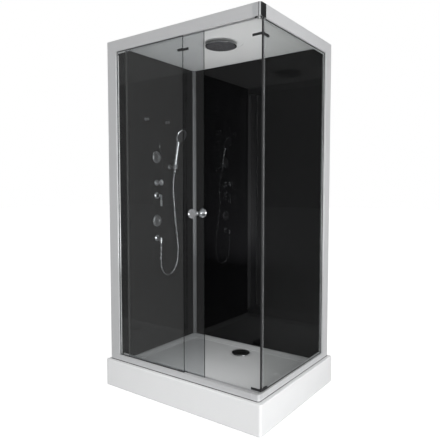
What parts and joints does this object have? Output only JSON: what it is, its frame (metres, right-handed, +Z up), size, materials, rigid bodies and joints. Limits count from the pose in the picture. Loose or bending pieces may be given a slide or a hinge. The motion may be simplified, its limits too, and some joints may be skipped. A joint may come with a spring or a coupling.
{
  "type": "shower cabin",
  "caption": "Rectangular shower cabin: white tray, satin aluminium frame, tinted fixed panes with a sliding door, black glass walls with mixer, body jets, hand shower and overhead shower.",
  "frame": {"origin": "centre of the tray's footprint, on the floor", "axes": "+X to the right along the front, +Y from the front to the back wall, +Z up"},
  "size_m": [1.15, 0.9, 2.171],
  "materials": {
    "white_acrylic": "gloss white acrylic",
    "drain_metal": "polished",
    "drain_cover_metal": "polished",
    "soft_rubber": "matt",
    "trap_plastic": "moulded",
    "frame_steel": "galvanised",
    "foot_metal": "zinc plated",
    "satin_aluminium": "satin anodised",
    "corner_chrome": "polished",
    "corner_pale": "satin",
    "mill_aluminium": "mill finish",
    "tinted_glass": "grey tinted",
    "black_glass": "back painted black",
    "gasket_black": "matt",
    "roof_plastic": "satin moulded",
    "knob_chrome": "polished",
    "stud_steel": "turned",
    "hanger_metal": "die cast, satin",
    "screw_steel": "turned",
    "wheel_nylon": "moulded",
    "clear_seal": "soft translucent",
    "guide_nylon": "moulded",
    "clip_black": "moulded",
    "fitting_chrome": "polished",
    "nozzle_grey": "moulded with soft nozzles",
    "jet_face": "plated plastic",
    "valve_brass": "cast and turned",
    "nut_brass": "turned",
    "hose_metal": "flexible metal",
    "pipe_plastic": "extruded"
  },
  "bodies": {
    "cabin": {"tray": "white_acrylic", "drain_flange": "drain_metal", "drain_gasket": "soft_rubber", "drain_trap": "trap_plastic", "underframe": "frame_steel", "feet": "foot_metal", "bottom_rail_front": "satin_aluminium", "bottom_rail_side": "satin_aluminium", "bottom_corner_joint": "corner_pale", "threshold_strip": "satin_aluminium", "top_rail_front": "satin_aluminium", "top_rail_side": "satin_aluminium", "top_corner_cover": "corner_chrome", "post_front_left": "satin_aluminium", "post_back_right": "satin_aluminium", "post_back_left": "satin_aluminium", "wall_angles": "mill_aluminium", "fixed_glass_front": "tinted_glass", "fixed_glass_side": "tinted_glass", "glazing_gaskets": "gasket_black", "left_wall_panel": "black_glass", "back_wall_panel": "black_glass", "roof_panel": "roof_plastic", "track_stops": "soft_rubber", "door_guides": "guide_nylon", "closing_seal": "gasket_black", "closing_stops": "clip_black", "glass_clip": "clip_black", "rain_head_shell": "fitting_chrome", "rain_head_face": "nozzle_grey", "roof_elbow": "nut_brass", "jet_housings": "fitting_chrome", "diverter_valve": "valve_brass", "mixer_valve": "valve_brass", "valve_plates": "fitting_chrome", "outlet_elbow": "fitting_chrome", "hose_nut_lower": "fitting_chrome", "shower_hose": "hose_metal", "shower_holder": "fitting_chrome", "robe_hooks": "fitting_chrome", "mounting_nuts": "nut_brass", "supply_pipes": "pipe_plastic"},
    "door": {"door_glass": "tinted_glass", "door_knobs": "knob_chrome", "knob_stud": "stud_steel", "door_hangers": "hanger_metal", "hanger_screws": "screw_steel", "door_rear_seal": "clear_seal"},
    "wheel_left": {"door_wheel_left": "wheel_nylon"},
    "wheel_right": {"door_wheel_right": "wheel_nylon"},
    "jet_upper": {"jet_nozzle_upper": "jet_face"},
    "jet_lower": {"jet_nozzle_lower": "jet_face"},
    "diverter_handle": {"diverter_knob": "fitting_chrome"},
    "temperature_hub": {"mixer_hub": "fitting_chrome"},
    "flow_lever": {"mixer_lever": "fitting_chrome"},
    "drain_insert": {"drain_cover": "drain_cover_metal", "drain_cup": "trap_plastic"},
    "hand_shower": {"handset": "fitting_chrome", "handset_face": "nozzle_grey", "hose_nut_upper": "fitting_chrome"}
  },
  "joints": [
    {"name": "door_slide", "type": "slide", "parent": "cabin", "child": "door", "axis": [1, 0, 0], "range_m": [-0.05, 0.3536]},
    {"name": "left_wheel_spin", "type": "hinge", "parent": "door", "child": "wheel_left", "pos_m": [-0.345, -0.3745, 2.1103], "axis": [0, 1, 0], "range_deg": [-300, 1900]},
    {"name": "right_wheel_spin", "type": "hinge", "parent": "door", "child": "wheel_right", "pos_m": [0.10931, -0.3745, 2.1103], "axis": [0, 1, 0], "range_deg": [-300, 1900]},
    {"name": "upper_jet_tilt", "type": "hinge", "parent": "cabin", "child": "jet_upper", "pos_m": [-0.542, -0.008, 1.472], "axis": [0, 1, 0], "range_deg": [-12, 12]},
    {"name": "lower_jet_tilt", "type": "hinge", "parent": "cabin", "child": "jet_lower", "pos_m": [-0.542, -0.008, 1.032], "axis": [0, 1, 0], "range_deg": [-12, 12]},
    {"name": "diverter_turn", "type": "hinge", "parent": "cabin", "child": "diverter_handle", "pos_m": [-0.52, -0.008, 1.297], "axis": [1, 0, 0], "range_deg": [-120, 120]},
    {"name": "temperature_turn", "type": "hinge", "parent": "cabin", "child": "temperature_hub", "pos_m": [-0.52, -0.008, 1.207], "axis": [1, 0, 0], "range_deg": [-50, 50]},
    {"name": "flow_lift", "type": "hinge", "parent": "temperature_hub", "child": "flow_lever", "pos_m": [-0.509, -0.008, 1.207], "axis": [0, -1, 0], "range_deg": [0, 25]},
    {"name": "drain_insert_lift", "type": "slide", "parent": "cabin", "child": "drain_insert", "axis": [0, 0, 1], "range_m": [0, 0.08]},
    {"name": "hand_shower_lift", "type": "slide", "parent": "cabin", "child": "hand_shower", "axis": [0.1736, 0, 0.9848], "range_m": [0, 0.05], "deforming": ["shower_hose"]}
  ],
  "couplings": [
    {"joint": "left_wheel_spin", "follows": "door_slide", "rad_per_m": 90.909},
    {"joint": "right_wheel_spin", "follows": "door_slide", "rad_per_m": 90.909}
  ]
}
